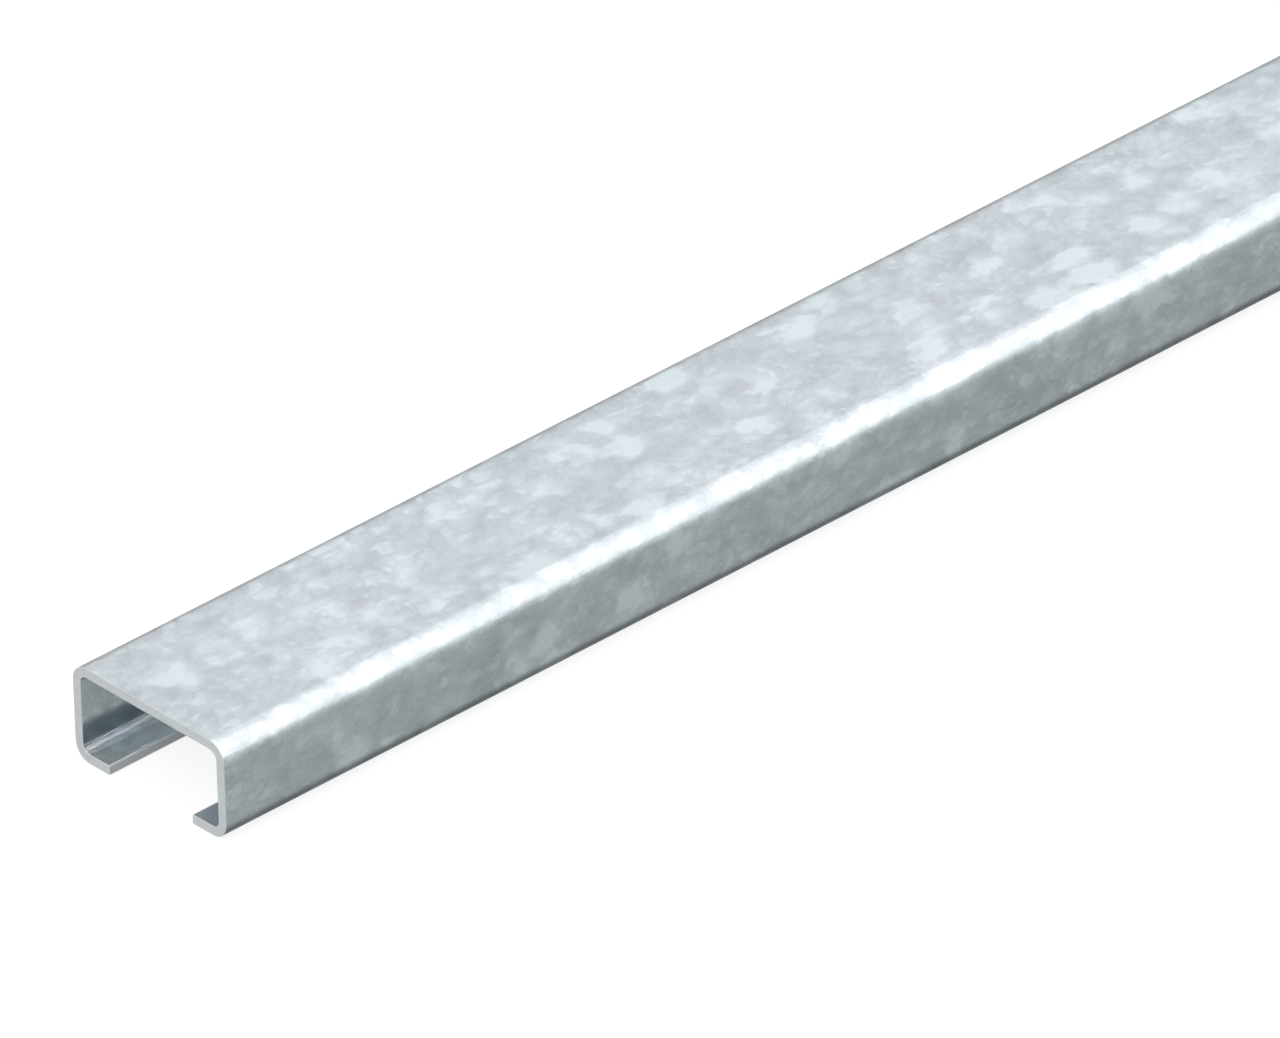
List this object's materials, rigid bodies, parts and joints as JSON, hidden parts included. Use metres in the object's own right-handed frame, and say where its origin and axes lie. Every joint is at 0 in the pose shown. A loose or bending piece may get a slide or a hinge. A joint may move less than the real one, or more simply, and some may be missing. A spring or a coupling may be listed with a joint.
{
  "type": "strut channel",
  "caption": "Light steel strut channel: one roll-formed C section with a continuous slot between two inturned lips, square-cut at both ends.",
  "frame": {"origin": "mid-length and mid-width of the channel, in the plane of the lips' faces that it rests on", "axes": "+X along the channel's length, +Z from the slot towards the back, +Y across the width"},
  "size_m": [1, 0.03, 0.015],
  "materials": {
    "galvanised_steel": "hot-dip galvanised sheet, satin, with a fine irregular spangle"
  },
  "bodies": {
    "root": {"strut_channel": "galvanised_steel"}
  },
  "joints": []
}
